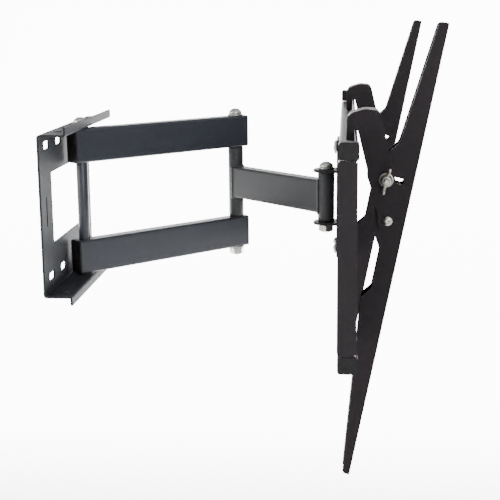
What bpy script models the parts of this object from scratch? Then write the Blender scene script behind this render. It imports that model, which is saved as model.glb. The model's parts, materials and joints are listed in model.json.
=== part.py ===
"""A full motion wall mount for a television: wall plate, folding arm of two stages, head, hooked tilting brackets.

Metres. +X points out of the wall, +Z is up, and +Y runs along the wall. The origin is on the wall plate's
back face, midway between the upper wall screws.
"""

import math

import bmesh
import bpy
from mathutils import Matrix, Vector

# Gaps and fits
GAP = 0.0003
HOLE_CLEARANCE = 0.0003
NYLON_THICKNESS = 0.0010

# Wall plate: a sheet folded into a hat section
PLATE_WIDTH = 0.232
PLATE_HEIGHT = 0.1810
PLATE_DEPTH = 0.0323
PLATE_LIP = 0.0080
PLATE_SHEET = 0.0025
PLATE_BEND = 0.0020
WALL_SLOT_LENGTH = 0.024
WALL_SLOT_WIDTH = 0.0095
WALL_SLOT_CORNER = 0.0025
WALL_SLOT_Y = (0.0325, 0.0840)
WALL_SLOT_Z = (0.0763, -0.0716)
WINDOW_WIDTH = 0.140
WINDOW_BOTTOM = -0.037
WINDOW_TOP = 0.044
SIDE_SLOT_Y = 0.0945
SIDE_SLOT_WIDTH = 0.0045
SIDE_SLOT_BOTTOM = -0.0145
SIDE_SLOT_TOP = 0.0205
FLANGE_HOLE_RADIUS = 0.0048
FLANGE_HOLES = {1: (0.0155, 0.082), -1: (0.0225, 0.096)}

# Arm: two stages of rectangular tube
TUBE_HEIGHT = 0.040
TUBE_DEPTH = 0.020
TUBE_WALL = 0.0018
TUBE_CORNER = 0.0026
ARM1_LENGTH = 0.234
ARM1_ANGLE = math.radians(44.6)
ARM1_OVERHANG = 0.0132
ARM1_TUBE_Z = 0.0664
ARM2_LENGTH = 0.173
ARM2_ANGLE = math.radians(-45.6)
ARM2_SETBACK = 0.0035
WALL_PIVOT_X = 0.0210
WALL_TUBE_RADIUS = 0.00685
ELBOW_TUBE_RADIUS = 0.0097
HEAD_TUBE_RADIUS = 0.0100
HEAD_TUBE_HALF = 0.0285
CAP_FLANGE = 0.0016
CAP_PLUG = 0.0110
CAP_BOSS_RADIUS = 0.0055

# Head: ears on a back plate, which carries the television plate
EAR_SHEET = 0.0032
EAR_RADIUS = 0.0153
BACK_PLATE_HALF_WIDTH = 0.030
BACK_PLATE_HALF_HEIGHT = 0.070
PLATE_BOLT_Y = 0.020
PLATE_BOLT_Z = 0.060
WEB_FROM_HEAD_PIVOT = 0.0162
RAIL_LENGTH = 0.698
RAIL_DEPTH = 0.0178
RAIL_HEIGHT = 0.180
RAIL_LIP = 0.0153
RAIL_SHEET = 0.0022
RAIL_BEND = 0.0028
RAIL_MIDDLE_Z = -0.0022
RAIL_CAP_LENGTH = 0.0140
RAIL_CAP_SKIN = 0.0012
RAIL_CAP_GAP = 0.0010

# Hook links and television brackets
BRACKET_SPACING = 0.400
NEAR_BRACKET_Y = -0.184
CHANNEL_SHEET = 0.0020
CHANNEL_HALF = 0.0111
LINK_SHEET = 0.0025
LINK_HALF = 0.0140
TILT_PIVOT = (0.3734, 0.0141)
TILT_BOLT = (0.3715, 0.0550)
TILT_AT_REST = math.radians(11.2)
PIVOT_FROM_FRONT = 0.0176
PIVOT_FROM_BOTTOM = 0.2712
BRACKET_LENGTH = 0.4693
END_DEPTH = 0.0075
TOP_END_DEPTH = 0.0094
SHOULDER_DEPTH = 0.0270
WAIST_DEPTH = 0.0187
HUB_DEPTH = 0.0273
CREST_DEPTH = 0.0370
SCREEN_SLOT_WIDTH = 0.0070
SCREEN_SLOT_LENGTH = 0.026
SCREEN_SLOTS = (0.035, 0.085, 0.135, 0.335, 0.385, 0.435)
TILT_SLOT_FORWARD = math.radians(21.5)

# Fasteners: thread radius, head or nut half width across flats
M10 = 0.0050
M6 = 0.0030
M5 = 0.0025
M10_NUT = 0.0085
M10_HEAD = 0.0084
M10_NUT_HEIGHT = 0.0084
M6_NUT = 0.0050
M6_NUT_HEIGHT = 0.0050
STEEL_WASHER = 0.0016
WING_LEAN = math.radians(15)
BOLT_TAIL = 0.0016

# Heights of the wall plate's middle and of the flanges' faces, from the origin and from that middle
MIDDLE_Z = -WALL_SLOT_Z[0]
FLANGE_OUTER = PLATE_HEIGHT / 2
FLANGE_INNER = FLANGE_OUTER - PLATE_SHEET
TUBE_TOP = ARM1_TUBE_Z + TUBE_HEIGHT / 2
TUBE_BOTTOM = ARM1_TUBE_Z - TUBE_HEIGHT / 2

WALL_PIVOT = Vector((WALL_PIVOT_X, 0, 0))
ARM1_ALONG = Vector((math.cos(ARM1_ANGLE), math.sin(ARM1_ANGLE), 0))
ARM2_ALONG = Vector((math.cos(ARM2_ANGLE), math.sin(ARM2_ANGLE), 0))
ELBOW_PIVOT = WALL_PIVOT + ARM1_LENGTH * ARM1_ALONG
HEAD_PIVOT = ELBOW_PIVOT + ARM2_LENGTH * ARM2_ALONG
RAIL_X = HEAD_PIVOT.x + WEB_FROM_HEAD_PIVOT
RAIL_FRONT_X = RAIL_X + RAIL_DEPTH


# ---------------------------------------------------------------- outlines

def arc(centre, radius, start, end, steps):
    """Points along an arc, both ends included, with angles in degrees."""
    angles = [math.radians(start + (end - start) * i / steps) for i in range(steps + 1)]
    return [(centre[0] + radius * math.cos(a), centre[1] + radius * math.sin(a)) for a in angles]


def circle(radius, steps=20, centre=(0, 0)):
    return arc(centre, radius, 0, 360, steps)[:-1]


def rounded(points, radius, steps=3, closed=True):
    """The path with each corner turned into an arc. radius is one number, or one for each point."""
    count = len(points)
    radii = [radius] * count if isinstance(radius, float) else radius
    result = []
    for i, point in enumerate(points):
        here = Vector(point)
        if radii[i] == 0 or (not closed and i in (0, count - 1)):
            result.append(tuple(here))
            continue
        back = (Vector(points[i - 1]) - here).normalized()
        ahead = (Vector(points[(i + 1) % count]) - here).normalized()
        half = back.angle(ahead) / 2
        centre = here + (back + ahead).normalized() * radii[i] / math.sin(half)
        first = here + back * radii[i] / math.tan(half) - centre
        last = here + ahead * radii[i] / math.tan(half) - centre
        turn = first.angle_signed(last)
        for k in range(steps + 1):
            spoke = Matrix.Rotation(-turn * k / steps, 2) @ first
            result.append(tuple(centre + spoke))
    return result


def rectangle(x_low, x_high, y_low, y_high, radius=0.0, steps=3):
    corners = [(x_low, y_low), (x_high, y_low), (x_high, y_high), (x_low, y_high)]
    return rounded(corners, radius, steps) if radius else corners


def slot(centre, length, width, upright=False, steps=4):
    """A slot with round ends."""
    half, r = length / 2 - width / 2, width / 2
    ends = arc((half, 0), r, -90, 90, steps) + arc((-half, 0), r, 90, 270, steps)
    if upright:
        ends = [(-y, x) for x, y in ends]
    return [(centre[0] + x, centre[1] + y) for x, y in ends]


def sheet_section(path, bend, thickness, steps=3):
    """The closed section of a folded sheet whose middle follows the path."""
    line = [Vector(p) for p in rounded(path, bend, steps, closed=False)]
    sides = ([], [])
    for i, point in enumerate(line):
        before, after = line[max(i - 1, 0)], line[min(i + 1, len(line) - 1)]
        inward = (point - before).normalized() if i else Vector((0, 0))
        outward = (after - point).normalized() if i < len(line) - 1 else Vector((0, 0))
        along = (inward + outward).normalized()
        normal = Vector((-along.y, along.x))
        stretch = 1.0 if not i or i == len(line) - 1 else 1 / max(along.dot(inward), 0.5)
        sides[0].append(tuple(point + normal * thickness / 2 * stretch))
        sides[1].append(tuple(point - normal * thickness / 2 * stretch))
    return sides[0] + sides[1][::-1]


# ---------------------------------------------------------------- meshes

AXES = {
    "X": lambda u, v, w: (w, u, v),
    "Y": lambda u, v, w: (u, w, v),
    "Z": lambda u, v, w: (u, v, w),
}


def finish_mesh(bm, name, smooth=True):
    bmesh.ops.recalc_face_normals(bm, faces=bm.faces)
    mesh = bpy.data.meshes.new(name)
    bm.to_mesh(mesh)
    bm.free()
    if smooth:
        mesh.shade_smooth()
        mesh.set_sharp_from_angle(angle=math.radians(35))
    return mesh


def prism(name, outline, low, high, axis="Z", hole=None):
    """The outline extruded along an axis. hole is an inner outline with as many points, for a pipe."""
    place = AXES[axis]
    bm = bmesh.new()
    rings = []
    for path in [outline] + ([hole] if hole else []):
        for w in (low, high):
            rings.append([bm.verts.new(place(u, v, w)) for u, v in path])
    count = len(outline)
    walls = [(rings[0], rings[1])] + ([(rings[2], rings[3])] if hole else [])
    for bottom, top in walls:
        for i in range(count):
            j = (i + 1) % count
            bm.faces.new((bottom[i], bottom[j], top[j], top[i]))
    if hole:
        for outer, inner in ((rings[0], rings[2]), (rings[1], rings[3])):
            for i in range(count):
                j = (i + 1) % count
                bm.faces.new((outer[i], outer[j], inner[j], inner[i]))
    else:
        bm.faces.new(rings[0])
        bm.faces.new(rings[1])
    return finish_mesh(bm, name)


def turned(name, profile, axis="Z", steps=20):
    """A profile of (radius, height) points turned about an axis. Radius 0 closes it on the axis."""
    place = AXES[axis]
    bm = bmesh.new()
    rings = []
    for radius, height in profile:
        if radius == 0:
            rings.append([bm.verts.new(place(0, 0, height))] * steps)
        else:
            rings.append([bm.verts.new(place(x, y, height)) for x, y in circle(radius, steps)])
    closed = all(radius for radius, _ in profile)
    for k in range(len(rings) if closed else len(rings) - 1):
        lower, upper = rings[k], rings[(k + 1) % len(rings)]
        for i in range(steps):
            j = (i + 1) % steps
            corners = []
            for vert in (lower[i], lower[j], upper[j], upper[i]):
                if vert not in corners:
                    corners.append(vert)
            if len(corners) > 2:
                bm.faces.new(corners)
    return finish_mesh(bm, name)


# ---------------------------------------------------------------- scene objects

def make_material(name, colour, roughness, metallic):
    material = bpy.data.materials.new(name)
    material.use_nodes = True
    shader = material.node_tree.nodes["Principled BSDF"]
    shader.inputs["Base Color"].default_value = (*colour, 1)
    shader.inputs["Roughness"].default_value = roughness
    shader.inputs["Metallic"].default_value = metallic
    material.diffuse_color = (*colour, 1)
    return material


def add_empty(name, parent, location):
    empty = bpy.data.objects.new(name, None)
    bpy.context.scene.collection.objects.link(empty)
    empty.parent = parent
    empty.location = location
    return empty


def add_piece(name, mesh, material, parent, location=(0, 0, 0), turn=(0, 0, 0)):
    piece = bpy.data.objects.new(name, mesh)
    bpy.context.scene.collection.objects.link(piece)
    mesh.materials.append(material)
    piece.parent = parent
    piece.location = location
    piece.rotation_euler = turn
    return piece


def combine(piece, mesh, operation, location=(0, 0, 0), turn=(0, 0, 0)):
    """Adds or removes a helper shape, placed in the piece's own frame."""
    index = len(piece.modifiers)
    helper = bpy.data.objects.new(f"{piece.name}_helper{index}", mesh)
    bpy.context.scene.collection.objects.link(helper)
    helper.parent = piece
    helper.location = location
    helper.rotation_euler = turn
    helper.hide_render = True
    helper.display_type = "WIRE"
    modifier = piece.modifiers.new(f"{operation.lower()}_{index}", "BOOLEAN")
    modifier.operation = operation
    modifier.solver = "EXACT"
    modifier.object = helper


def cut(piece, mesh, location=(0, 0, 0), turn=(0, 0, 0)):
    combine(piece, mesh, "DIFFERENCE", location, turn)


def drill(piece, radius, low, high, axis="Z", location=(0, 0, 0), steps=20):
    cut(piece, prism("drill", circle(radius, steps), low, high, axis), location)


# ---------------------------------------------------------------- fasteners

def dome_bolt_profile(shank, head_radius, head_height, under_head, tip):
    """Outer line of a bolt with a low domed head, from the tip up to the crown."""
    dome = [
        (head_radius * math.cos(a), under_head + head_height * (0.3 + 0.7 * math.sin(a)))
        for a in (math.radians(d) for d in (0, 30, 60))
    ]
    return (
        [(0, tip), (shank * 0.8, tip), (shank, tip + shank * 0.3), (shank, under_head)]
        + [(head_radius * 0.97, under_head)]
        + dome
        + [(0, under_head + head_height)]
    )


def hex_nut(name, half_flats, height, bore, low, axis="Z"):
    """A hexagon nut with turned-down corners and a clear bore."""
    corner = half_flats / math.cos(math.radians(30))
    mesh = prism(name, arc((0, 0), corner, 30, 390, 6)[:-1], low, low + height, axis)
    chamfer = height * 0.18
    profile = [(corner * 1.4, low - 0.001)]
    profile += [(half_flats * 0.94, low - 0.001), (half_flats * 0.94, low), (corner, low + chamfer)]
    profile += [(corner, low + height - chamfer), (half_flats * 0.94, low + height)]
    profile += [(half_flats * 0.94, low + height + 0.001), (corner * 1.4, low + height + 0.001)]
    return mesh, turned(name + "_chamfer", profile, axis, 12), bore


def add_nut(name, material, parent, location, half_flats, height, thread, low, axis="Z"):
    mesh, chamfer, bore = hex_nut(name, half_flats, height, thread + HOLE_CLEARANCE, low, axis)
    nut = add_piece(name, mesh, material, parent, location)
    cut(nut, chamfer)
    drill(nut, bore, low - 0.002, low + height + 0.002, axis, steps=12)
    return nut


def washer(name, outer, inner, low, high, axis="Z", steps=20):
    return turned(name, [(inner, low), (outer, low), (outer, high), (inner, high)], axis, steps)


# ---------------------------------------------------------------- wall plate

def make_wall_plate(root, steel):
    lip_x = PLATE_DEPTH - PLATE_SHEET / 2
    flange_z = FLANGE_OUTER - PLATE_SHEET / 2
    half = [(PLATE_SHEET / 2, flange_z), (lip_x, flange_z), (lip_x, FLANGE_OUTER + PLATE_LIP)]
    path = [(x, -z) for x, z in half[::-1]] + half
    section = sheet_section(path, PLATE_BEND, PLATE_SHEET)
    mesh = prism("wall_plate", section, -PLATE_WIDTH / 2, PLATE_WIDTH / 2, "Y")
    plate = add_piece("wall_plate", mesh, steel, root)
    window = rectangle(-WINDOW_WIDTH / 2, WINDOW_WIDTH / 2, WINDOW_BOTTOM, WINDOW_TOP, 0.002)
    cut(plate, prism("window", window, -0.01, 0.01, "X"))
    half_long, half_wide = WALL_SLOT_LENGTH / 2, WALL_SLOT_WIDTH / 2
    screw_slot = rectangle(-half_long, half_long, -half_wide, half_wide, WALL_SLOT_CORNER)
    side_height = SIDE_SLOT_TOP - SIDE_SLOT_BOTTOM
    side_slot = slot((0, SIDE_SLOT_BOTTOM + side_height / 2), side_height, SIDE_SLOT_WIDTH, True)
    for side in (-1, 1):
        for y in WALL_SLOT_Y:
            for z in WALL_SLOT_Z:
                cut(plate, prism("wall_slot", screw_slot, -0.01, 0.01, "X"), (0, side * y, z))
        cut(plate, prism("side_slot", side_slot, -0.01, 0.01, "X"), (0, side * SIDE_SLOT_Y, 0))
        for end, (x, y) in FLANGE_HOLES.items():
            drill(plate, FLANGE_HOLE_RADIUS, -0.01, 0.01, "Z", (x, side * y, end * flange_z), 20)
    for end in (-1, 1):
        drill(plate, M10 + HOLE_CLEARANCE, -0.01, 0.01, "Z", (WALL_PIVOT_X, 0, end * flange_z))


def make_wall_pivot(root, zinc, nylon):
    pivot = add_empty("wall_pivot", root, WALL_PIVOT)
    washer_low = FLANGE_OUTER + GAP
    head_under = washer_low + STEEL_WASHER + GAP
    nut_low = -head_under - M10_NUT_HEIGHT
    profile = dome_bolt_profile(M10, 0.0079, 0.0066, head_under, nut_low - BOLT_TAIL)
    add_piece("wall_pivot_bolt", turned("wall_pivot_bolt", profile), zinc, pivot)
    add_nut("wall_pivot_nut", zinc, pivot, (0, 0, 0), M10_NUT, M10_NUT_HEIGHT, M10, nut_low)
    for name, low in (("upper", washer_low), ("lower", -washer_low - STEEL_WASHER)):
        mesh = washer("wall_pivot_washer", 0.0079, M10 + HOLE_CLEARANCE, low, low + STEEL_WASHER)
        add_piece(f"wall_pivot_washer_{name}", mesh, zinc, pivot)
    for name, end in (("upper", 1), ("lower", -1)):
        low = end * (TUBE_TOP + GAP + NYLON_THICKNESS / 2) - NYLON_THICKNESS / 2
        mesh = washer("wall_bearing", 0.0095, M10 + HOLE_CLEARANCE, low, low + NYLON_THICKNESS)
        add_piece(f"wall_bearing_{name}", mesh, nylon, pivot)


# ---------------------------------------------------------------- first arm

def tube_sections(height, depth):
    outer = rectangle(-depth / 2, depth / 2, -height / 2, height / 2, TUBE_CORNER)
    inner = rectangle(
        TUBE_WALL - depth / 2,
        depth / 2 - TUBE_WALL,
        TUBE_WALL - height / 2,
        height / 2 - TUBE_WALL,
        TUBE_CORNER - TUBE_WALL,
    )
    return outer, inner


def make_arm1(root, steel, plastic):
    """Two equal tubes over each other, joined by a round tube at the wall. Their frame lies along the arm."""
    arm = add_empty("arm1", root, WALL_PIVOT)
    arm.rotation_euler = (0, 0, ARM1_ANGLE)
    outer, inner = tube_sections(TUBE_HEIGHT, TUBE_DEPTH)
    start, end = -ARM1_OVERHANG, ARM1_LENGTH + ARM1_OVERHANG
    hole = M10 + HOLE_CLEARANCE
    for name, z in (("upper", ARM1_TUBE_Z), ("lower", -ARM1_TUBE_Z)):
        mesh = prism("arm1_tube", outer, start + CAP_FLANGE + GAP, end - CAP_FLANGE - GAP, "X", inner)
        tube = add_piece(f"arm1_{name}_tube", mesh, steel, arm, (0, 0, z))
        for x in (0, ARM1_LENGTH):
            drill(tube, hole, -TUBE_HEIGHT, TUBE_HEIGHT, "Z", (x, 0, 0))
        for place, x, side in (("wall", start, -1), ("elbow", end, 1)):
            make_end_cap(f"arm1_{name}_{place}_cap", arm, plastic, (x, 0, z), side)
    reach = TUBE_BOTTOM - GAP
    mesh = washer("arm1_wall_tube", WALL_TUBE_RADIUS, hole, -reach, reach)
    add_piece("arm1_wall_tube", mesh, steel, arm)
    return arm


def make_end_cap(name, arm, plastic, location, side):
    """A push-in cap: a flange the size of the tube, a plug inside it and a low round boss outside."""
    inset = TUBE_WALL + GAP
    flange = rectangle(
        -TUBE_DEPTH / 2, TUBE_DEPTH / 2, -TUBE_HEIGHT / 2, TUBE_HEIGHT / 2, TUBE_CORNER
    )
    plug = rectangle(
        inset - TUBE_DEPTH / 2,
        TUBE_DEPTH / 2 - inset,
        inset - TUBE_HEIGHT / 2,
        TUBE_HEIGHT / 2 - inset,
        0.0008,
    )
    span = sorted((0, -side * CAP_FLANGE))
    cap = add_piece(name, prism(name, flange, span[0], span[1], "X"), plastic, arm, location)
    plug_end = M10 + HOLE_CLEARANCE + GAP - ARM1_OVERHANG
    plug_span = sorted((-side * CAP_FLANGE / 2, side * max(plug_end, -CAP_PLUG)))
    combine(cap, prism("plug", plug, plug_span[0], plug_span[1], "X"), "UNION")
    boss_span = sorted((-side * CAP_FLANGE / 2, side * 0.0006))
    combine(cap, prism("boss", circle(CAP_BOSS_RADIUS, 16), boss_span[0], boss_span[1], "X"), "UNION")


def make_elbow_pivot(arm, zinc, nylon):
    """The bolt through both tubes of the first arm, its nut, and the washers that ride on it."""
    pivot = add_empty("elbow_pivot", arm, (ARM1_LENGTH, 0, 0))
    bore = M10 + HOLE_CLEARANCE
    washer_low = TUBE_TOP + GAP
    head_under = washer_low + STEEL_WASHER + GAP
    lower_washer = -washer_low - STEEL_WASHER
    nut_low = lower_washer - GAP - M10_NUT_HEIGHT
    profile = dome_bolt_profile(M10, M10_HEAD, 0.0069, head_under, nut_low - BOLT_TAIL)
    add_piece("elbow_bolt", turned("elbow_bolt", profile), zinc, pivot)
    add_nut("elbow_nut", zinc, pivot, (0, 0, 0), M10_NUT, M10_NUT_HEIGHT, M10, nut_low)
    for name, low in (("upper", washer_low), ("lower", lower_washer)):
        mesh = washer("elbow_washer", 0.0099, bore, low, low + STEEL_WASHER)
        add_piece(f"elbow_washer_{name}", mesh, zinc, pivot)
    for name, end in (("upper", 1), ("lower", -1)):
        low = end * (TUBE_BOTTOM - GAP - NYLON_THICKNESS / 2) - NYLON_THICKNESS / 2
        mesh = washer("elbow_bearing", 0.0092, bore, low, low + NYLON_THICKNESS)
        add_piece(f"elbow_bearing_{name}", mesh, nylon, pivot)


# ---------------------------------------------------------------- second arm

def make_bush(name, parent, nylon, radius, wall, end, tube_half):
    """A nylon sleeve pressed into one end of a pivot tube."""
    outer = radius - wall - GAP
    low, high = sorted((end * tube_half, end * (tube_half - 0.014)))
    mesh = washer(name, outer, M10 + HOLE_CLEARANCE, low, high)
    add_piece(name, mesh, nylon, parent)


def make_arm2(root, steel, nylon):
    """One tube, cut to fit against the upright tube at each of its ends."""
    arm = add_empty("arm2", root, ELBOW_PIVOT)
    arm.rotation_euler = (0, 0, ARM2_ANGLE)
    elbow_half = TUBE_BOTTOM - GAP - NYLON_THICKNESS - GAP
    for name, x, radius, half in (
        ("elbow", 0, ELBOW_TUBE_RADIUS, elbow_half),
        ("head", ARM2_LENGTH, HEAD_TUBE_RADIUS, HEAD_TUBE_HALF),
    ):
        mesh = washer(f"{name}_tube", radius, radius - TUBE_WALL, -half, half, steps=28)
        tube = add_piece(f"{name}_tube", mesh, steel, arm, (x, 0, 0))
        for end_name, end in (("upper", 1), ("lower", -1)):
            make_bush(f"{name}_bush_{end_name}", tube, nylon, radius, TUBE_WALL, end, half)
    outer, inner = tube_sections(TUBE_HEIGHT, TUBE_DEPTH)
    mesh = prism("arm2_tube", outer, ARM2_SETBACK, ARM2_LENGTH - ARM2_SETBACK, "X", inner)
    tube = add_piece("arm2_tube", mesh, steel, arm)
    drill(tube, ELBOW_TUBE_RADIUS + GAP, -TUBE_HEIGHT, TUBE_HEIGHT, steps=28)
    drill(tube, HEAD_TUBE_RADIUS + GAP, -TUBE_HEIGHT, TUBE_HEIGHT, "Z", (ARM2_LENGTH, 0, 0), 28)
    return arm


# ---------------------------------------------------------------- head and television plate

def make_head(root, steel, zinc, nylon):
    pivot = add_empty("head", root, HEAD_PIVOT)
    back_x = WEB_FROM_HEAD_PIVOT - GAP
    bearing_low = HEAD_TUBE_HALF + GAP
    ear_low = bearing_low + NYLON_THICKNESS + GAP
    ear_high = ear_low + EAR_SHEET
    half_width, half_height = BACK_PLATE_HALF_WIDTH, BACK_PLATE_HALF_HEIGHT
    back = rectangle(-half_width, half_width, -half_height, half_height, 0.006)
    mesh = prism("head_bracket", back, back_x - EAR_SHEET, back_x, "X")
    bracket = add_piece("head_bracket", mesh, steel, pivot)
    nose = arc((0, 0), EAR_RADIUS, 90, 270, 12)
    ear = nose + [(back_x - EAR_SHEET / 2, -EAR_RADIUS), (back_x - EAR_SHEET / 2, EAR_RADIUS)]
    for end in (-1, 1):
        low, high = sorted((end * ear_low, end * ear_high))
        combine(bracket, prism("ear", ear, low, high), "UNION")
    drill(bracket, M10 + HOLE_CLEARANCE, -0.05, 0.05)
    washer_low = ear_high + GAP
    head_under = washer_low + STEEL_WASHER + GAP
    nut_low = -ear_high - GAP - M10_NUT_HEIGHT
    profile = dome_bolt_profile(M10, M10_HEAD, 0.0064, head_under, nut_low - BOLT_TAIL)
    add_piece("head_bolt", turned("head_bolt", profile), zinc, pivot)
    add_nut("head_nut", zinc, pivot, (0, 0, 0), M10_NUT, M10_NUT_HEIGHT, M10, nut_low)
    mesh = washer("head_washer", 0.0095, M10 + HOLE_CLEARANCE, washer_low, washer_low + STEEL_WASHER)
    add_piece("head_washer", mesh, zinc, pivot)
    for name, end in (("upper", 1), ("lower", -1)):
        low = end * (bearing_low + NYLON_THICKNESS / 2) - NYLON_THICKNESS / 2
        mesh = washer("head_bearing", 0.0098, M10 + HOLE_CLEARANCE, low, low + NYLON_THICKNESS)
        add_piece(f"head_bearing_{name}", mesh, nylon, pivot)
        for side_name, side in (("near", -1), ("far", 1)):
            place = (0, side * PLATE_BOLT_Y, end * PLATE_BOLT_Z)
            drill(bracket, M6 + HOLE_CLEARANCE, 0, 0.03, "X", place, 12)
            make_plate_bolt(f"{side_name}_{name}", pivot, zinc, place)
    return pivot


def make_plate_bolt(name, pivot, zinc, place):
    """A short bolt from the back plate through the television plate, and its nut on the far side."""
    back = WEB_FROM_HEAD_PIVOT - GAP - EAR_SHEET - GAP
    nut_low = WEB_FROM_HEAD_PIVOT + RAIL_SHEET + GAP
    tip = nut_low + M6_NUT_HEIGHT + 0.0012
    profile = [(r, -h) for r, h in dome_bolt_profile(M6, 0.0058, 0.0038, -back, -tip)]
    bolt = turned("plate_bolt", profile, "X", 12)
    add_piece(f"plate_bolt_{name}", bolt, zinc, pivot, place)
    add_nut(f"plate_nut_{name}", zinc, pivot, place, M6_NUT, M6_NUT_HEIGHT, M6, nut_low, "X")


def make_rail(root, steel, plastic):
    """The television plate: a shallow pan with a lip along its top and bottom for the hooks."""
    rail = add_empty("rail", root, (RAIL_X, HEAD_PIVOT.y, RAIL_MIDDLE_Z))
    flange_z = RAIL_HEIGHT / 2 - RAIL_SHEET / 2
    lip_x = RAIL_DEPTH - RAIL_SHEET / 2
    half = [(RAIL_SHEET / 2, flange_z), (lip_x, flange_z), (lip_x, RAIL_HEIGHT / 2 + RAIL_LIP)]
    path = [(x, -z) for x, z in half[::-1]] + half
    section = sheet_section(path, RAIL_BEND, RAIL_SHEET)
    mesh = prism("tv_plate", section, -RAIL_LENGTH / 2, RAIL_LENGTH / 2, "Y")
    plate = add_piece("tv_plate", mesh, steel, rail)
    inside = RAIL_HEIGHT / 2 - RAIL_SHEET
    for side in (-1, 1):
        low, high = sorted((side * RAIL_LENGTH / 2, side * (RAIL_LENGTH / 2 - RAIL_SHEET)))
        wall = rectangle(RAIL_SHEET / 2, RAIL_DEPTH, -inside - 0.0005, inside + 0.0005)
        combine(plate, prism("end_wall", wall, low, high, "Y"), "UNION")
        for end in (-1, 1):
            place = (0, side * PLATE_BOLT_Y, end * PLATE_BOLT_Z - RAIL_MIDDLE_Z)
            drill(plate, M6 + HOLE_CLEARANCE, -0.01, 0.01, "X", place, 12)
    for side, side_name in ((-1, "near"), (1, "far")):
        for end, end_name in ((-1, "lower"), (1, "upper")):
            make_rail_cap(f"rail_cap_{side_name}_{end_name}", rail, plastic, side, end)


def make_rail_cap(name, rail, plastic, side, end):
    """A plastic block pushed over the lip at a corner, which keeps the hooks on the plate."""
    lip_top = RAIL_HEIGHT / 2 + RAIL_LIP
    z_low, z_high = sorted((end * (RAIL_HEIGHT / 2 + RAIL_CAP_GAP), end * (lip_top + RAIL_CAP_SKIN)))
    front = RAIL_DEPTH + RAIL_CAP_SKIN
    outer, inner = (0.0028, 0.0006) if end > 0 else (0.0006, 0.0028)
    corners = [(0.0004, z_low), (front, z_low), (front, z_high), (0.0004, z_high)]
    outline = rounded(corners, [inner, inner, outer, outer])
    outside = side * (RAIL_LENGTH / 2 + RAIL_CAP_SKIN)
    low, high = sorted((outside, outside - side * RAIL_CAP_LENGTH))
    cap = add_piece(name, prism(name, outline, low, high, "Y"), plastic, rail)
    bottom, top = sorted((end * (RAIL_HEIGHT / 2 - 0.002), end * (lip_top + GAP)))
    lip = rectangle(RAIL_DEPTH - RAIL_SHEET - GAP, RAIL_DEPTH + GAP, bottom, top)
    plate_end = side * (RAIL_LENGTH / 2 + GAP)
    low, high = sorted((plate_end, plate_end - side * RAIL_CAP_LENGTH * 2))
    cut(cap, prism("lip", lip, low, high, "Y"))
    corner = rectangle(RAIL_DEPTH - 0.0058, RAIL_DEPTH + GAP, *sorted((end * 0.0880, end * 0.0912)))
    cut(cap, prism("bend", corner, low, high, "Y"))


# ---------------------------------------------------------------- hook links

def link_outline():
    """Side view of a cheek, from the tilt pivot: a hook over the upper lip on a leaning arm."""
    lip_top = RAIL_MIDDLE_Z + RAIL_HEIGHT / 2 + RAIL_LIP
    lip_back = RAIL_FRONT_X - RAIL_SHEET
    corners = [
        (lip_back - 0.0086, lip_top - 0.0143, 0.0038),
        (lip_back - 0.0004, lip_top - 0.0143, 0.0038),
        (lip_back - 0.0004, lip_top + 0.0008, 0.0),
        (RAIL_FRONT_X + 0.0006, lip_top + 0.0004, 0.0),
        (TILT_PIVOT[0] - 0.0100, TILT_PIVOT[1] + 0.0080, 0.0090),
        (TILT_PIVOT[0] - 0.0096, TILT_PIVOT[1] - 0.0092, 0.0080),
        (TILT_PIVOT[0] + 0.0082, TILT_PIVOT[1] - 0.0092, 0.0080),
        (TILT_PIVOT[0] + 0.0080, TILT_PIVOT[1] + 0.0370, 0.0200),
        (0.3642, lip_top + 0.0196, 0.0070),
        (0.3500, lip_top + 0.0212, 0.0160),
        (lip_back - 0.0076, lip_top + 0.0160, 0.0080),
    ]
    outline = rounded([(x, z) for x, z, _ in corners], [r for _, _, r in corners], 4)
    return [(x - TILT_PIVOT[0], z - TILT_PIVOT[1]) for x, z in outline]


def make_link(name, root, steel, y):
    """Two cheeks joined by a flange along the top, with holes for the pivot bolt and the tilt bolt."""
    outline = link_outline()
    mesh = prism("hook_link", outline, -LINK_HALF, LINK_HALF, "Y")
    place = (TILT_PIVOT[0], y, TILT_PIVOT[1])
    link = add_piece(f"{name}_hook_link", mesh, steel, root, place)
    top_left = max(z for x, z in outline if x < -0.035)
    top_right = max(z for x, z in outline if x > -0.020)
    inner = [(-0.060, top_left - 0.0070), (-0.033, top_left - LINK_SHEET)]
    inner += [(-0.008, top_right - LINK_SHEET), (0.020, top_right - LINK_SHEET)]
    inner += [(0.020, -0.020), (-0.060, -0.020)]
    inside = LINK_HALF - LINK_SHEET
    cut(link, prism("link_inside", inner, -inside, inside, "Y"))
    drill(link, M6 + HOLE_CLEARANCE, -0.02, 0.02, "Y", steps=12)
    bolt = (TILT_BOLT[0] - TILT_PIVOT[0], 0, TILT_BOLT[1] - TILT_PIVOT[1])
    drill(link, M5 + HOLE_CLEARANCE, -0.02, 0.02, "Y", bolt, 12)
    return link


# ---------------------------------------------------------------- television brackets

def bracket_outline():
    """Side view of a web, from the tilt pivot, with +z up along the bracket and its front edge straight."""
    corners = [
        (0, 0, 0.0008),
        (0, BRACKET_LENGTH, 0.0010),
        (TOP_END_DEPTH, BRACKET_LENGTH, 0.0040),
        (0.0220, 0.349, 0.0100),
        (CREST_DEPTH, 0.329, 0.0080),
        (CREST_DEPTH, 0.319, 0.0060),
        (HUB_DEPTH, 0.255, 0.0060),
        (WAIST_DEPTH, 0.240, 0.0060),
        (WAIST_DEPTH, 0.200, 0.0040),
        (SHOULDER_DEPTH, 0.189, 0.0050),
        (END_DEPTH, 0, 0.0040),
    ]
    outline = rounded([(d, s) for d, s, _ in corners], [r for _, _, r in corners], 3)
    return [(PIVOT_FROM_FRONT - d, s - PIVOT_FROM_BOTTOM) for d, s in outline]


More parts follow.
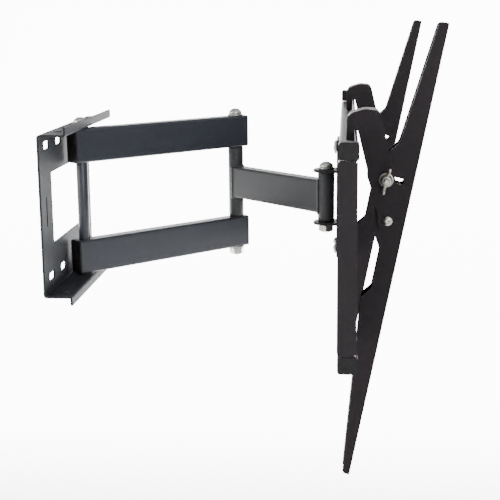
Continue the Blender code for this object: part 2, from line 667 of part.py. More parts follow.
def tilt_slot_outline():
    """An arc about the pivot, wide enough for the tilt bolt, over the tilt's travel."""
    dx, dz = TILT_BOLT[0] - TILT_PIVOT[0], TILT_BOLT[1] - TILT_PIVOT[1]
    radius = math.hypot(dx, dz)
    at_rest = math.atan2(dz, dx) + TILT_AT_REST
    start = math.degrees(at_rest - TILT_SLOT_FORWARD)
    end = math.degrees(at_rest)
    half = M5 + HOLE_CLEARANCE
    tip_low = (radius * math.cos(math.radians(start)), radius * math.sin(math.radians(start)))
    tip_high = (radius * math.cos(math.radians(end)), radius * math.sin(math.radians(end)))
    outline = arc((0, 0), radius + half, start, end, 4)
    outline += arc(tip_high, half, end, end + 180, 5)[1:-1]
    outline += arc((0, 0), radius - half, end, start, 4)
    return outline + arc(tip_low, half, start + 180, start + 360, 5)[1:-1]


def make_bracket(name, root, steel, y):
    """A channel with its flange against the screen, whose two webs hold the pivot and the tilt slot."""
    mesh = prism("tv_bracket", bracket_outline(), -CHANNEL_HALF, CHANNEL_HALF, "Y")
    place = (TILT_PIVOT[0], y, TILT_PIVOT[1])
    bracket = add_piece(f"{name}_tv_bracket", mesh, steel, root, place, (0, TILT_AT_REST, 0))
    inside = CHANNEL_HALF - CHANNEL_SHEET
    flange_back = PIVOT_FROM_FRONT - CHANNEL_SHEET
    inner = rectangle(-0.05, flange_back, -PIVOT_FROM_BOTTOM - 0.01, BRACKET_LENGTH, 0.0)
    cut(bracket, prism("channel", inner, -inside, inside, "Y"))
    drill(bracket, M6 + HOLE_CLEARANCE, -0.02, 0.02, "Y", steps=12)
    cut(bracket, prism("tilt_slot", tilt_slot_outline(), -0.02, 0.02, "Y"))
    for s in SCREEN_SLOTS:
        outline = slot((0, s - PIVOT_FROM_BOTTOM), SCREEN_SLOT_LENGTH, SCREEN_SLOT_WIDTH, True)
        cut(bracket, prism("screen_slot", outline, flange_back - 0.002, PIVOT_FROM_FRONT + 0.002, "X"))


def make_tilt_hardware(name, link, zinc):
    """The pivot bolt with its nut, and the tilt bolt with its washer and wing nut."""
    outside = LINK_HALF + GAP
    tip = outside + M6_NUT_HEIGHT + 0.0012
    profile = [(r, -h) for r, h in dome_bolt_profile(M6, 0.0049, 0.0028, outside, -tip)]
    add_piece(f"{name}_pivot_bolt", turned("pivot_bolt", profile, "Y", 16), zinc, link)
    add_nut(f"{name}_pivot_nut", zinc, link, (0, 0, 0), M6_NUT, M6_NUT_HEIGHT, M6, outside, "Y")
    bolt_place = (TILT_BOLT[0] - TILT_PIVOT[0], 0, TILT_BOLT[1] - TILT_PIVOT[1])
    wing_low = outside + STEEL_WASHER + GAP
    profile = dome_bolt_profile(M5, 0.0052, 0.0034, outside, -wing_low - 0.0130)
    add_piece(f"{name}_tilt_bolt", turned("tilt_bolt", profile, "Y", 16), zinc, link, bolt_place)
    mesh = washer("tilt_washer", 0.0070, M5 + HOLE_CLEARANCE, -outside - STEEL_WASHER, -outside, "Y")
    add_piece(f"{name}_tilt_washer", mesh, zinc, link, bolt_place)
    make_wing_nut(name, link, zinc, bolt_place, wing_low)


def make_wing_nut(name, link, zinc, place, low):
    """A turned hub with two flat wings that spread outwards."""
    hub_top = low + 0.0085
    profile = [(0, -low), (0.0062, -low), (0.0058, -low - 0.003), (0.0044, -hub_top), (0, -hub_top)]
    nut = add_piece(f"{name}_wing_nut", turned("wing_nut", profile, "Y", 16), zinc, link, place)
    nut.rotation_euler = (0, WING_LEAN, 0)
    for side in (-1, 1):
        blade = [(0.0030, -low - 0.0010), (0.0062, -low - 0.0006), (0.0126, -low - 0.0070)]
        blade += [(0.0130, -low - 0.0128), (0.0088, -low - 0.0130), (0.0030, -low - 0.0075)]
        outline = rounded([(side * z, y) for z, y in blade], 0.0012, 2)
        combine(nut, blade_mesh(outline), "UNION")
    drill(nut, M5 + HOLE_CLEARANCE, -low - 0.02, -low + 0.002, "Y", steps=12)


def blade_mesh(outline):
    """A thick wing in the plane through the bolt. The outline holds (height, distance along the bolt)."""
    return prism("wing", [(y, z) for z, y in outline], -0.0014, 0.0014, "X")


# ---------------------------------------------------------------- assembly

def main():
    for old in list(bpy.data.objects):
        bpy.data.objects.remove(old, do_unlink=True)
    steel = make_material("black_powder_coat", (0.030, 0.031, 0.034), 0.42, 0.0)
    zinc = make_material("zinc_plate", (0.62, 0.63, 0.60), 0.30, 1.0)
    plastic = make_material("black_plastic", (0.018, 0.018, 0.019), 0.55, 0.0)
    nylon = make_material("black_nylon", (0.030, 0.030, 0.032), 0.50, 0.0)

    root = add_empty("mount_middle", None, (0, 0, MIDDLE_Z))
    make_wall_plate(root, steel)
    make_wall_pivot(root, zinc, nylon)
    arm1 = make_arm1(root, steel, plastic)
    make_elbow_pivot(arm1, zinc, nylon)
    make_arm2(root, steel, nylon)
    make_head(root, steel, zinc, nylon)
    make_rail(root, steel, plastic)
    for name, y in (("near", NEAR_BRACKET_Y), ("far", NEAR_BRACKET_Y + BRACKET_SPACING)):
        link = make_link(name, root, steel, y)
        make_bracket(name, root, steel, y)
        make_tilt_hardware(name, link, zinc)


main()
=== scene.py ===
"""Looks of the full motion television wall mount: materials, fasteners, weld beads, stage and light."""

import json
import math

import bmesh
import bpy
from mathutils import Matrix, Vector

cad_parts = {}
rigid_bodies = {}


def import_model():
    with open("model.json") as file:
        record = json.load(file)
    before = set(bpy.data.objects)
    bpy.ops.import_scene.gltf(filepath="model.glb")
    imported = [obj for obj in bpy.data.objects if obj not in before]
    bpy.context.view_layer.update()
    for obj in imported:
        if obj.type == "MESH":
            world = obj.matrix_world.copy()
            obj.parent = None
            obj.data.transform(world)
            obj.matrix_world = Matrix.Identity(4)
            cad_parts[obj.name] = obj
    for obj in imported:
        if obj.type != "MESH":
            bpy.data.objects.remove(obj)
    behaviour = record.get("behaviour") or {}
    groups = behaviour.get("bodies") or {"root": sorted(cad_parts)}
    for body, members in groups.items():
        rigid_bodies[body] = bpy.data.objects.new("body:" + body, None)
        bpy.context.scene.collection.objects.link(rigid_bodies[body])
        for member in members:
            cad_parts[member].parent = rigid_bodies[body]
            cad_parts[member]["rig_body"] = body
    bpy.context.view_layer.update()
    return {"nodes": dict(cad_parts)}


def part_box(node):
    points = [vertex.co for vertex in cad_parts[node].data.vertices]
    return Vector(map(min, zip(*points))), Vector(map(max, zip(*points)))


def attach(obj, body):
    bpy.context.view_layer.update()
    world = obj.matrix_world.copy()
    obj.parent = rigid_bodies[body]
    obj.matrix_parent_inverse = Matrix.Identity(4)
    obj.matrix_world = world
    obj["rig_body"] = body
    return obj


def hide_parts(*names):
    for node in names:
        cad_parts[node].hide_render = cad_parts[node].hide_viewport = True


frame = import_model()
nodes = frame["nodes"]

# Camera, in the row frame
CAMERA_POSITION = (0.33165, -1.28357, 0.13746)
CAMERA_YAW = math.radians(4.99)
CAMERA_PITCH = math.radians(11.92)
CAMERA_ROLL = math.radians(-0.56)
CAMERA_LENS = 79.93

# Fasteners: thread radius, bore of what goes round it, half width across a nut's flats, and nut's bore
M10, M10_BORE, M10_NUT, M10_NUT_BORE = 0.0050, 0.0053, 0.0085, 0.0051
M6, M6_NUT, M6_NUT_BORE = 0.0030, 0.0050, 0.0031
M5, M5_BORE = 0.0025, 0.0028
THREAD_PITCH = 0.0015
THREAD_DEPTH = 0.00045
HEX_UP = math.pi / 6
ELBOW_NUT_TURN = math.radians(-14.6)
WING_LEAN = math.radians(15)
WING_HALF_THICKNESS = 0.0014

# Welded and turned tubes
ELBOW_TUBE_BORE = 0.0079
HEAD_TUBE_BORE = 0.0082
ARM_HALF_DEPTH = 0.0098
BEAD_RADIUS = 0.0015

# Rounded edges, as the coat or the mould leaves them
COAT_EDGE = 0.0004
PLATE_EDGE = 0.0005
CAP_EDGE = 0.0003

# How finely round shapes are drawn
ROUND_STEPS = 64
NUT_STEPS = 72
NUT_LAYERS = 14
HUB_STEPS = 40
BEAD_STEPS = 12
STAGE_STEPS = 96

# Stage, from the floor's height up, and how strongly its paper glows
FLOOR_Z = -0.62
FLAT_RADIUS = 3.4
CURVE_RADIUS = 1.6
WALL_TOP = 7.0
PAPER_WHITE = (0.92, 0.92, 0.925)
PAPER_GREY = (0.32, 0.32, 0.33)
BACK_GLOW = 11.0
ROOM_GLOW = 0.30


# ---------------------------------------------------------------- node helpers

class Nodes:
    """Short calls for a material's node tree."""

    def __init__(self, name):
        self.material = bpy.data.materials.new(name)
        self.material.use_nodes = True
        self.tree = self.material.node_tree
        self.shader = self.tree.nodes["Principled BSDF"]

    def add(self, kind, **values):
        """A node, with its settings and its inputs' values. An input's spaces are underscores."""
        node = self.tree.nodes.new(kind)
        for key, value in values.items():
            if hasattr(node, key):
                setattr(node, key, value)
            else:
                node.inputs[key.replace("_", " ")].default_value = value
        return node

    def link(self, source, target):
        self.tree.links.new(source, target)

    def noise(self, coords, scale, detail, stretch=None):
        node = self.add("ShaderNodeTexNoise", Scale=scale, Detail=detail)
        if stretch:
            mapping = self.add("ShaderNodeMapping", Scale=stretch)
            self.link(coords, mapping.inputs["Vector"])
            coords = mapping.outputs["Vector"]
        self.link(coords, node.inputs["Vector"])
        return node.outputs["Fac"]

    def spread(self, value, low, high, to_low, to_high):
        """The value's range from low to high, stretched over to_low to to_high."""
        node = self.add("ShaderNodeMapRange")
        ends = {"From Min": low, "From Max": high, "To Min": to_low, "To Max": to_high}
        for key, number in ends.items():
            node.inputs[key].default_value = number
        self.link(value, node.inputs["Value"])
        return node.outputs["Result"]

    def smooth(self, value, low, high, to_low, to_high):
        """The same as spread, with soft ends."""
        result = self.spread(value, low, high, to_low, to_high)
        result.node.interpolation_type = "SMOOTHERSTEP"
        return result

    def mix(self, factor, first, second):
        node = self.add("ShaderNodeMix", data_type="RGBA")
        self.link(factor, node.inputs["Factor"])
        for socket, value in ((node.inputs[6], first), (node.inputs[7], second)):
            if isinstance(value, tuple):
                socket.default_value = (*value, 1)
            else:
                self.link(value, socket)
        return node.outputs[2]

    def bump(self, height, strength, distance, onto=None):
        node = self.add("ShaderNodeBump", Strength=strength, Distance=distance)
        self.link(height, node.inputs["Height"])
        if onto:
            self.link(onto, node.inputs["Normal"])
        return node.outputs["Normal"]


def powder_coat(name, colour, worn, roughness, grain=0.12, ior=1.5):
    """Satin powder coat: fine orange peel, faint cloudiness, and rubbed edges. A low ior dulls it."""
    m = Nodes(name)
    coords = m.add("ShaderNodeNewGeometry").outputs["Position"]
    cloud = m.noise(coords, 14, 2)
    peel = m.noise(coords, 900, 3)
    pits = m.noise(coords, 2600, 2)
    dust = m.noise(coords, 140, 6)
    lighter = tuple(c * 1.15 for c in colour)
    base = m.mix(m.spread(cloud, 0.25, 0.75, 0, 1), colour, lighter)
    softened = m.add("ShaderNodeBevel", samples=6, Radius=0.0007)
    facing = m.add("ShaderNodeVectorMath", operation="DOT_PRODUCT")
    m.link(softened.outputs["Normal"], facing.inputs[0])
    m.link(m.add("ShaderNodeNewGeometry").outputs["Normal"], facing.inputs[1])
    edge = m.spread(facing.outputs["Value"], 0.97, 0.80, 0, 1)
    rub = m.add("ShaderNodeMath", operation="MULTIPLY")
    m.link(edge, rub.inputs[0])
    m.link(m.spread(dust, 0.42, 0.62, 0.05, 0.65), rub.inputs[1])
    m.link(m.mix(rub.outputs[0], base, worn), m.shader.inputs["Base Color"])
    m.link(m.spread(dust, 0.2, 0.8, roughness - 0.025, roughness + 0.03), m.shader.inputs["Roughness"])
    coarse = m.bump(peel, grain, 0.0006)
    m.link(m.bump(pits, grain * 0.6, 0.0003, coarse), m.shader.inputs["Normal"])
    m.shader.inputs["IOR"].default_value = ior
    return m.material


def zinc_plate(name, colour, tint, roughness):
    """Bright zinc with soft blotches, a warm passivated tint and fine lathe lines."""
    m = Nodes(name)
    coords = m.add("ShaderNodeNewGeometry").outputs["Position"]
    blotch = m.noise(coords, 220, 5)
    lines = m.noise(coords, 60, 2, (1, 1, 90))
    scratches = m.noise(coords, 1500, 4, (1, 0.2, 1))
    tone = m.mix(m.spread(blotch, 0.35, 0.65, 0, 1), colour, tint)
    dulled = m.spread(blotch, 0.3, 0.7, roughness - 0.07, roughness + 0.12)
    m.link(tone, m.shader.inputs["Base Color"])
    m.link(dulled, m.shader.inputs["Roughness"])
    turned = m.bump(lines, 0.08, 0.0003)
    m.link(m.bump(scratches, 0.10, 0.0002, turned), m.shader.inputs["Normal"])
    m.shader.inputs["Metallic"].default_value = 1
    return m.material


def moulded_plastic(name, colour, roughness, grain, scale):
    """Moulded plastic with a spark-eroded grain and scuffs that are a little lighter."""
    m = Nodes(name)
    coords = m.add("ShaderNodeNewGeometry").outputs["Position"]
    texture = m.noise(coords, scale, 3)
    scuff = m.noise(coords, 260, 8, (1, 1, 0.35))
    lighter = tuple(c * 1.5 + 0.002 for c in colour)
    tone = m.mix(m.spread(scuff, 0.5, 0.75, 0, 1), colour, lighter)
    dulled = m.spread(scuff, 0.35, 0.7, roughness - 0.06, roughness + 0.08)
    m.link(tone, m.shader.inputs["Base Color"])
    m.link(dulled, m.shader.inputs["Roughness"])
    m.link(m.bump(texture, grain, 0.0004), m.shader.inputs["Normal"])
    m.shader.inputs["IOR"].default_value = 1.32
    return m.material


MATERIALS = {
    "arm": powder_coat("arm_powder_coat", (0.030, 0.0335, 0.042), (0.17, 0.175, 0.19), 0.38),
    "front_arm": powder_coat(
        "front_arm_powder_coat", (0.038, 0.039, 0.0405), (0.17, 0.17, 0.175), 0.42, 0.12, ior=1.36
    ),
    "wall": powder_coat(
        "wall_powder_coat", (0.030, 0.032, 0.036), (0.15, 0.155, 0.165), 0.55, 0.14, ior=1.12
    ),
    "plate": powder_coat(
        "plate_powder_coat", (0.0150, 0.0116, 0.0132), (0.10, 0.094, 0.098), 0.46, 0.12, ior=1.30
    ),
    "bracket": powder_coat(
        "bracket_powder_coat", (0.0155, 0.0116, 0.0134), (0.095, 0.086, 0.09), 0.46, 0.14, ior=1.24
    ),
    "weld": powder_coat("weld_powder_coat", (0.036, 0.037, 0.040), (0.15, 0.15, 0.16), 0.34, 0.22),
    "zinc": zinc_plate("zinc_plate", (0.66, 0.66, 0.63), (0.56, 0.54, 0.46), 0.27),
    "washer": zinc_plate("zinc_washer", (0.58, 0.58, 0.56), (0.47, 0.46, 0.41), 0.36),
    "wing": zinc_plate("zinc_casting", (0.58, 0.57, 0.50), (0.44, 0.43, 0.34), 0.38),
    "plastic": moulded_plastic("black_plastic", (0.0105, 0.0088, 0.0096), 0.50, 0.22, 1400),
    "nylon": moulded_plastic("black_nylon", (0.024, 0.024, 0.026), 0.42, 0.10, 2200),
}


# ---------------------------------------------------------------- detailed pieces

def join_rings(bm, rings):
    """A band of faces between each ring of vertices and the next."""
    count = len(rings[0])
    for lower, upper in zip(rings, rings[1:]):
        for i in range(count):
            j = (i + 1) % count
            bm.faces.new((lower[i], lower[j], upper[j], upper[i]))


def add_object(name, bm, sharp=None):
    """A smooth object from the bmesh. Edges over the sharp angle, in degrees, stay sharp."""
    mesh = bpy.data.meshes.new(name)
    bm.to_mesh(mesh)
    bm.free()
    mesh.shade_smooth()
    if sharp:
        mesh.set_sharp_from_angle(angle=math.radians(sharp))
    made = bpy.data.objects.new(name, mesh)
    bpy.context.scene.collection.objects.link(made)
    return made


def round_edges(piece, width, angle):
    """Two-step rounding of the edges over the angle, in degrees."""
    rounding = piece.modifiers.new("rounding", "BEVEL")
    rounding.width = width
    rounding.segments = 2
    rounding.limit_method = "ANGLE"
    rounding.angle_limit = math.radians(angle)


def surface(name, rings, filled_ends=True):
    """An object over rings of points with the same count. The end rings are filled if asked."""
    bm = bmesh.new()
    made = [[bm.verts.new(p) for p in ring] for ring in rings]
    join_rings(bm, made)
    if filled_ends:
        bm.faces.new(made[0])
        bm.faces.new(made[-1])
    bmesh.ops.remove_doubles(bm, verts=bm.verts, dist=1e-7)
    bmesh.ops.recalc_face_normals(bm, faces=bm.faces)
    return add_object(name, bm, sharp=38)


def stand_in(piece, node, material):
    """The piece takes the CAD node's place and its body."""
    piece.data.materials.append(MATERIALS[material])
    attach(piece, nodes[node]["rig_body"])
    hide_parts(node)


class Turning:
    """Places rings round a CAD node's own axis, which is one of the row's axes."""

    def __init__(self, node, axis):
        low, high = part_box(node)
        self.axis = "XYZ".index(axis)
        self.others = [i for i in range(3) if i != self.axis]
        self.low, self.high = low[self.axis], high[self.axis]
        self.centre = [(low[i] + high[i]) / 2 for i in range(3)]
        self.radius = max(high[i] - low[i] for i in self.others) / 2

    def point(self, angle, radius, along):
        place = [0, 0, 0]
        place[self.axis] = along
        place[self.others[0]] = self.centre[self.others[0]] + radius * math.cos(angle)
        place[self.others[1]] = self.centre[self.others[1]] + radius * math.sin(angle)
        return place

    def ring(self, radius, along, steps=ROUND_STEPS):
        """A ring whose radius and height may be functions of the angle."""
        points = []
        for i in range(steps):
            angle = 2 * math.pi * i / steps
            r = radius(angle) if callable(radius) else radius
            h = along(angle) if callable(along) else along
            points.append(self.point(angle, r, h))
        return points


def turned_tube(node, axis, inner, material, round_off=COAT_EDGE):
    """A ring or tube with its sharp edges taken off."""
    t = Turning(node, axis)
    a, b, r = t.low, t.high, t.radius
    e = min(round_off, (b - a) / 4)
    profile = [(inner, a + e), (inner + e, a), (r - e, a), (r - e * 0.3, a + e * 0.3), (r, a + e)]
    profile += [(r, b - e), (r - e * 0.3, b - e * 0.3), (r - e, b), (inner + e, b), (inner, b - e)]
    profile.append(profile[0])
    piece = surface(f"{node}_turned", [t.ring(rad, z) for rad, z in profile], filled_ends=False)
    stand_in(piece, node, material)


def hexagon(half_flats, phase=0.0):
    """Radius of a hexagon at an angle."""
    sixth = math.pi / 3

    def radius(angle):
        turn = (angle + phase) % sixth - sixth / 2
        return half_flats / math.cos(turn)

    return radius


def threaded_bolt(node, axis, shank, head_height, thread, socket, up=1):
    """A low domed head with a hexagon socket, a plain shank and a helical thread at the tail.
    The head is at the high end of the axis, or with up at -1 at the low end."""
    t = Turning(node, axis)
    top, tip = (t.high, t.low) if up > 0 else (t.low, t.high)
    under = top - up * head_height
    rings = [t.ring(shank * 0.30, tip), t.ring(shank * 0.78, tip)]
    rings.append(t.ring(shank * 0.86, tip + up * 0.0004))
    count = int(thread / THREAD_PITCH * 8)
    for k in range(count + 1):
        height = 0.0006 + thread * k / count
        fade = min(1, k / 8, (count - k) / 8)

        def crest(angle, height=height, fade=fade):
            phase = (height / THREAD_PITCH - angle / (2 * math.pi)) % 1
            return shank - THREAD_DEPTH * fade * (1 - abs(2 * phase - 1))

        rings.append(t.ring(crest, tip + up * height))
    rings.append(t.ring(shank, under - up * 0.0002))
    head = t.radius
    rings.append(t.ring(head * 0.96, under))
    rings.append(t.ring(head, under + up * head_height * 0.08))
    for share in range(0, 80, 8):
        a = math.radians(share)
        height = head_height * (0.24 + 0.76 * math.sin(a))
        if head * math.cos(a) < socket * 1.5:
            break
        rings.append(t.ring(head * math.cos(a), under + up * height))
    lip = under + up * head_height * 0.985
    hexed = hexagon(socket)
    rings.append(t.ring(socket * 1.28, lip))
    rings.append(t.ring(lambda a: hexed(a) * 1.05, lip - up * 0.0002))
    rings.append(t.ring(hexed, lip - up * 0.0006))
    rings.append(t.ring(hexed, top - up * head_height * 0.62))
    rings.append(t.ring(socket * 0.2, top - up * head_height * 0.66))
    stand_in(surface(f"{node}_threaded", rings), node, "zinc")


def hex_nut(node, axis, half_flats, bore, phase=HEX_UP):
    """A hexagon nut with the curved chamfers of a turned bar, and thread ridges in its bore."""
    t = Turning(node, axis)
    height = t.high - t.low
    corner = half_flats / math.cos(math.pi / 6)
    hexed = hexagon(half_flats, phase)
    rings = []
    for k in range(NUT_LAYERS + 1):
        z = height * k / NUT_LAYERS
        cone = half_flats * 0.955 + min(z, height - z) * 1.5
        limit = min(cone, corner)
        rings.append(t.ring(lambda a, limit=limit: min(hexed(a), limit), t.low + z, NUT_STEPS))
    rings.append(t.ring(bore + 0.0006, t.high, NUT_STEPS))
    ridges = int(height / THREAD_PITCH * 4)
    for k in range(ridges + 1):
        z = height * (1 - k / ridges)
        depth = THREAD_DEPTH * 0.5 * (1 - math.cos(2 * math.pi * (height - z) / THREAD_PITCH))
        inside = t.low + max(0.0002, min(height - 0.0002, z))
        rings.append(t.ring(bore + depth * 0.5, inside, NUT_STEPS))
    rings.append(t.ring(bore + 0.0006, t.low, NUT_STEPS))
    rings.append(rings[0])
    stand_in(surface(f"{node}_hexagon", rings, filled_ends=False), node, "zinc")


def wing_nut(node):
    """A cast wing nut: a tapered hub and two thick rounded wings."""
    low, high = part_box(node)
    centre = (low + high) / 2
    face = high.y
    depth = face - low.y
    reach = (high.z - low.z) / 2 / math.cos(WING_LEAN)
    bm = bmesh.new()
    hub = [(0.0061, 0), (0.0062, 0.0006), (0.0059, 0.0028), (0.0052, 0.0055), (0.0046, 0.0080)]
    hub += [(0.0041, 0.0085), (0.0031, 0.0085), (0.0027, 0.0080), (0.0027, 0.0004), (0.0031, 0)]
    loops = []
    for radius, back in hub:
        ring = []
        for i in range(HUB_STEPS):
            angle = 2 * math.pi * i / HUB_STEPS
            place = (radius * math.cos(angle), face - back, radius * math.sin(angle))
            ring.append(bm.verts.new(place))
        loops.append(ring)
    join_rings(bm, loops + loops[:1])
    blade = [(0.0036, 0.0012), (0.0062, 0.0010), (reach * 0.82, 0.0046), (reach * 0.97, depth * 0.60)]
    blade += [(reach * 0.985, depth * 0.93), (reach * 0.76, depth * 0.985)]
    blade += [(0.0062, 0.0076), (0.0036, 0.0070)]
    middle = Vector((sum(z for z, _ in blade), sum(back for _, back in blade))) / len(blade)
    edge, shoulder = WING_HALF_THICKNESS, 0.0010
    for side in (-1, 1):
        rows = []
        for offset, shrink in ((-edge, 0.80), (-shoulder, 0.94), (0, 1.0), (shoulder, 0.94), (edge, 0.80)):
            row = []
            for z, back in blade:
                p = middle + (Vector((z, back)) - middle) * shrink
                row.append(bm.verts.new((offset, face - p.y, side * p.x)))
            rows.append(row)
        join_rings(bm, rows)
        bm.faces.new(rows[0])
        bm.faces.new(rows[-1])
    bmesh.ops.recalc_face_normals(bm, faces=bm.faces)
    lean = Matrix.Translation((centre.x, 0, centre.z)) @ Matrix.Rotation(WING_LEAN, 4, "Y")
    bmesh.ops.transform(bm, matrix=lean, verts=bm.verts)
    piece = add_object(f"{node}_cast", bm, sharp=50)
    round_edges(piece, COAT_EDGE, 45)
    stand_in(piece, node, "wing")


def weld_bead(name, arm_axis, upright, radius, half_height, body):
    """A rippled bead round the end of the arm's tube, where it meets an upright tube.
    arm_axis points from the upright tube's middle, at upright, along the arm."""
    across = Vector((-arm_axis.y, arm_axis.x, 0))
    corners = [(-ARM_HALF_DEPTH, -half_height), (ARM_HALF_DEPTH, -half_height)]
    corners += [(ARM_HALF_DEPTH, half_height), (-ARM_HALF_DEPTH, half_height)]
    path = []
    for k, start in enumerate(corners):
        end = corners[(k + 1) % 4]
        count = 80 if k % 2 else 40
        for i in range(count):
            path.append([start[n] + (end[n] - start[n]) * i / count for n in (0, 1)])
    rings = []
    for i, (y, z) in enumerate(path):
        back = math.sqrt(max(radius**2 - min(abs(y), radius * 0.93) ** 2, 0))
        place = upright + arm_axis * (back + 0.0003) + across * y + Vector((0, 0, z))
        ahead = path[(i + 1) % len(path)]
        along = (across * (ahead[0] - y) + Vector((0, 0, ahead[1] - z))).normalized()
        out = along.cross(arm_axis).normalized()
        size = BEAD_RADIUS * (1 + 0.12 * math.sin(i * 1.25) + 0.05 * math.sin(i * 0.37 + 1))
        ring = []
        for j in range(BEAD_STEPS):
            a = 2 * math.pi * j / BEAD_STEPS
            ring.append(place + arm_axis * (size * 1.15 * math.cos(a)) + out * (size * math.sin(a)))
        rings.append(ring)
    rings.append(rings[0])
    piece = surface(name, rings, filled_ends=False)
    piece.data.materials.append(MATERIALS["weld"])
    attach(piece, body)


def soften(node, width):
    """Small rounded edges on a CAD piece that is shown as it is."""
    piece = nodes[node]
    piece.modifiers.new("weld", "WELD").merge_threshold = 1e-6
    round_edges(piece, width, 32)
    piece.modifiers.new("normals", "WEIGHTED_NORMAL").keep_sharp = True
    piece.data.shade_smooth()


def paint(node, material):
    """The material takes the place of the CAD piece's own."""
    slots = nodes[node].data.materials
    slots.clear()
    slots.append(MATERIALS[material])


# ---------------------------------------------------------------- the mount

ARM_NODES = ("arm1_upper_tube", "arm1_lower_tube")
PLATE_NODES = ("head_bracket", "tv_plate")
BRACKET_NODES = ("near_hook_link", "far_hook_link", "near_tv_bracket", "far_tv_bracket")


def dress_steel():
    """The coated steel: sheet and tube shown as they are, upright tubes turned, and the weld beads."""
    for group, material, width in (
        (ARM_NODES, "arm", COAT_EDGE),
        (("arm2_tube",), "front_arm", COAT_EDGE),
        (("wall_plate",), "wall", COAT_EDGE),
        (PLATE_NODES, "plate", PLATE_EDGE),
        (BRACKET_NODES, "bracket", PLATE_EDGE),
    ):
        for node in group:
            paint(node, material)
            soften(node, width)
    turned_tube("arm1_wall_tube", "Z", M10_BORE, "arm")
    turned_tube("elbow_tube", "Z", ELBOW_TUBE_BORE, "front_arm")
    turned_tube("head_tube", "Z", HEAD_TUBE_BORE, "front_arm")
    elbow_low, elbow_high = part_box("elbow_tube")
    head_low, head_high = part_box("head_tube")
    elbow, head = (elbow_low + elbow_high) / 2, (head_low + head_high) / 2
    arm = (head - elbow).normalized()
    tube_low, tube_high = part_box("arm2_tube")
    half = (tube_high.z - tube_low.z) / 2
    weld_bead("elbow_weld", arm, elbow, (elbow_high.x - elbow_low.x) / 2, half, "front_arm")
    weld_bead("head_weld", -arm, head, (head_high.x - head_low.x) / 2, half, "front_arm")


def dress_plastics():
    """End caps shown as they are, and turned bearings and bushes."""
    for end in ("upper", "lower"):
        for place in ("wall", "elbow"):
            node = f"arm1_{end}_{place}_cap"
            paint(node, "plastic")
            soften(node, CAP_EDGE)
        for place in ("near", "far"):
            node = f"rail_cap_{place}_{end}"
            paint(node, "plastic")
            soften(node, PLATE_EDGE)
        for place in ("wall", "elbow", "head"):
            turned_tube(f"{place}_bearing_{end}", "Z", M10_BORE, "nylon", 0.0002)
        for place in ("elbow", "head"):
            turned_tube(f"{place}_bush_{end}", "Z", M10_BORE, "nylon", CAP_EDGE)


def dress_fasteners():
    """Bolts, nuts, washers and wing nuts. A bolt takes its head's height, thread's length and socket."""
    threaded_bolt("wall_pivot_bolt", "Z", M10, 0.0066, 0.016, 0.0028)
    threaded_bolt("elbow_bolt", "Z", M10, 0.0069, 0.016, 0.0030)
    threaded_bolt("head_bolt", "Z", M10, 0.0064, 0.014, 0.0030)
    hex_nut("wall_pivot_nut", "Z", M10_NUT, M10_NUT_BORE)
    hex_nut("elbow_nut", "Z", M10_NUT, M10_NUT_BORE, ELBOW_NUT_TURN)
    hex_nut("head_nut", "Z", M10_NUT, M10_NUT_BORE)
    washers = ["head_washer"]
    for place in ("wall_pivot", "elbow"):
        washers += [f"{place}_washer_upper", f"{place}_washer_lower"]
    for node in washers:
        turned_tube(node, "Z", M10_BORE, "washer", CAP_EDGE)
    for side in ("near", "far"):
        for end in ("upper", "lower"):
            threaded_bolt(f"plate_bolt_{side}_{end}", "X", M6, 0.0038, 0.007, 0.0018, up=-1)
            hex_nut(f"plate_nut_{side}_{end}", "X", M6_NUT, M6_NUT_BORE)
        threaded_bolt(f"{side}_pivot_bolt", "Y", M6, 0.0028, 0.010, 0.0017, up=-1)
        threaded_bolt(f"{side}_tilt_bolt", "Y", M5, 0.0034, 0.018, 0.0017)
        hex_nut(f"{side}_pivot_nut", "Y", M6_NUT, M6_NUT_BORE)
        turned_tube(f"{side}_tilt_washer", "Y", M5_BORE, "washer", CAP_EDGE)
        wing_nut(f"{side}_wing_nut")


# ---------------------------------------------------------------- stage

def backdrop_paper():
    """White on the floor, greyer up the wall, and glowing on the floor and the low wall behind the mount."""
    paper = Nodes("backdrop_paper")
    place = paper.add("ShaderNodeSeparateXYZ")
    paper.link(paper.add("ShaderNodeNewGeometry").outputs["Position"], place.inputs["Vector"])
    rise = paper.spread(place.outputs["Z"], FLOOR_Z, FLOOR_Z + 1.2, 0, 1)
    paper.link(paper.mix(rise, PAPER_WHITE, PAPER_GREY), paper.shader.inputs["Base Color"])
    paper.shader.inputs["Roughness"].default_value = 0.9
    paper.shader.inputs["Emission Color"].default_value = (1.0, 1.0, 1.0, 1)
    sideways = paper.add("ShaderNodeMath", operation="ABSOLUTE")
    paper.link(place.outputs["X"], sideways.inputs[0])
    patch = paper.add("ShaderNodeMath", operation="MULTIPLY")
    paper.link(paper.smooth(sideways.outputs["Value"], 1.2, 3.0, 1, 0), patch.inputs[0])
    paper.link(paper.smooth(place.outputs["Z"], 0.20, 1.00, 1, 0), patch.inputs[1])
    glow = paper.add("ShaderNodeMath", operation="MULTIPLY_ADD")
    paper.link(paper.smooth(place.outputs["Y"], -0.25, 0.95, 0, BACK_GLOW), glow.inputs[0])
    paper.link(patch.outputs["Value"], glow.inputs[1])
    glow.inputs[2].default_value = ROOM_GLOW
    paper.link(glow.outputs["Value"], paper.shader.inputs["Emission Strength"])
    return paper.material


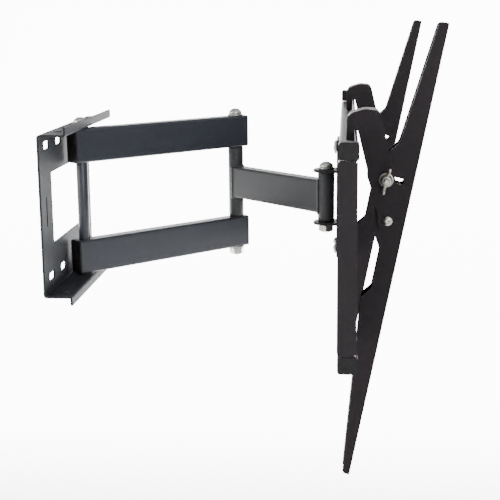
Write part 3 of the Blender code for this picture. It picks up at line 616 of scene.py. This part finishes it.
def make_stage():
    """A pale round floor that curves up into a wall all the way round."""
    profile = [(0.02, 0.0), (1.2, 0.0), (2.4, 0.0)]
    for step in range(1, 13):
        angle = math.radians(-90 + step * 7.5)
        outward = FLAT_RADIUS + CURVE_RADIUS * math.cos(angle)
        profile.append((outward, CURVE_RADIUS + CURVE_RADIUS * math.sin(angle)))
    profile.append((FLAT_RADIUS + CURVE_RADIUS, WALL_TOP))
    bm = bmesh.new()
    rings = []
    for radius, height in profile:
        ring = []
        for i in range(STAGE_STEPS):
            angle = 2 * math.pi * i / STAGE_STEPS
            place = (radius * math.cos(angle), radius * math.sin(angle), FLOOR_Z + height)
            ring.append(bm.verts.new(place))
        rings.append(ring)
    join_rings(bm, rings)
    bm.faces.new(rings[0])
    bmesh.ops.recalc_face_normals(bm, faces=bm.faces)
    backdrop = add_object("backdrop", bm)
    backdrop.data.materials.append(backdrop_paper())


def add_light(name, place, target, size, power, colour=(1, 1, 1)):
    """A rectangular light that faces the target."""
    data = bpy.data.lights.new(name, "AREA")
    data.shape = "RECTANGLE"
    data.size, data.size_y = size
    data.energy = power
    data.color = colour
    light = bpy.data.objects.new(name, data)
    light.location = place
    light.rotation_mode = "QUATERNION"
    light.rotation_quaternion = (Vector(target) - Vector(place)).to_track_quat("-Z", "Y")
    bpy.context.scene.collection.objects.link(light)


def make_light():
    """A dim even world and three broad lights, the most powerful on the left."""
    world = bpy.data.worlds.new("studio")
    world.use_nodes = True
    background = world.node_tree.nodes["Background"]
    background.inputs["Color"].default_value = (0.93, 0.96, 1.0, 1)
    background.inputs["Strength"].default_value = 0.30
    bpy.context.scene.world = world
    middle = (0.2, 0.0, -0.05)
    add_light("overhead", (0.2, -0.5, 2.2), middle, (2.4, 2.4), 12)
    add_light("right_front", (1.3, -2.2, 0.6), middle, (1.2, 1.2), 26, (0.93, 0.97, 1.0))
    add_light("left_side", (-2.4, -1.0, 0.4), middle, (1.8, 1.6), 44, (0.98, 0.99, 1.0))


def make_camera():
    """The camera looks along +Y, turned by its yaw, tipped down by its pitch, then rolled."""
    cos_pitch, sin_pitch = math.cos(CAMERA_PITCH), math.sin(CAMERA_PITCH)
    ahead = Vector((-math.sin(CAMERA_YAW) * cos_pitch, math.cos(CAMERA_YAW) * cos_pitch, -sin_pitch))
    level = Vector((math.cos(CAMERA_YAW), math.sin(CAMERA_YAW), 0))
    upright = level.cross(ahead)
    right = level * math.cos(CAMERA_ROLL) + upright * math.sin(CAMERA_ROLL)
    up = upright * math.cos(CAMERA_ROLL) - level * math.sin(CAMERA_ROLL)
    data = bpy.data.cameras.new("camera")
    data.lens = CAMERA_LENS
    data.sensor_width = 36
    camera = bpy.data.objects.new("camera", data)
    turn = Matrix((right, up, -ahead)).transposed().to_4x4()
    camera.matrix_world = Matrix.Translation(CAMERA_POSITION) @ turn
    bpy.context.scene.collection.objects.link(camera)
    bpy.context.scene.camera = camera


dress_steel()
dress_plastics()
dress_fasteners()
make_stage()
make_light()
make_camera()
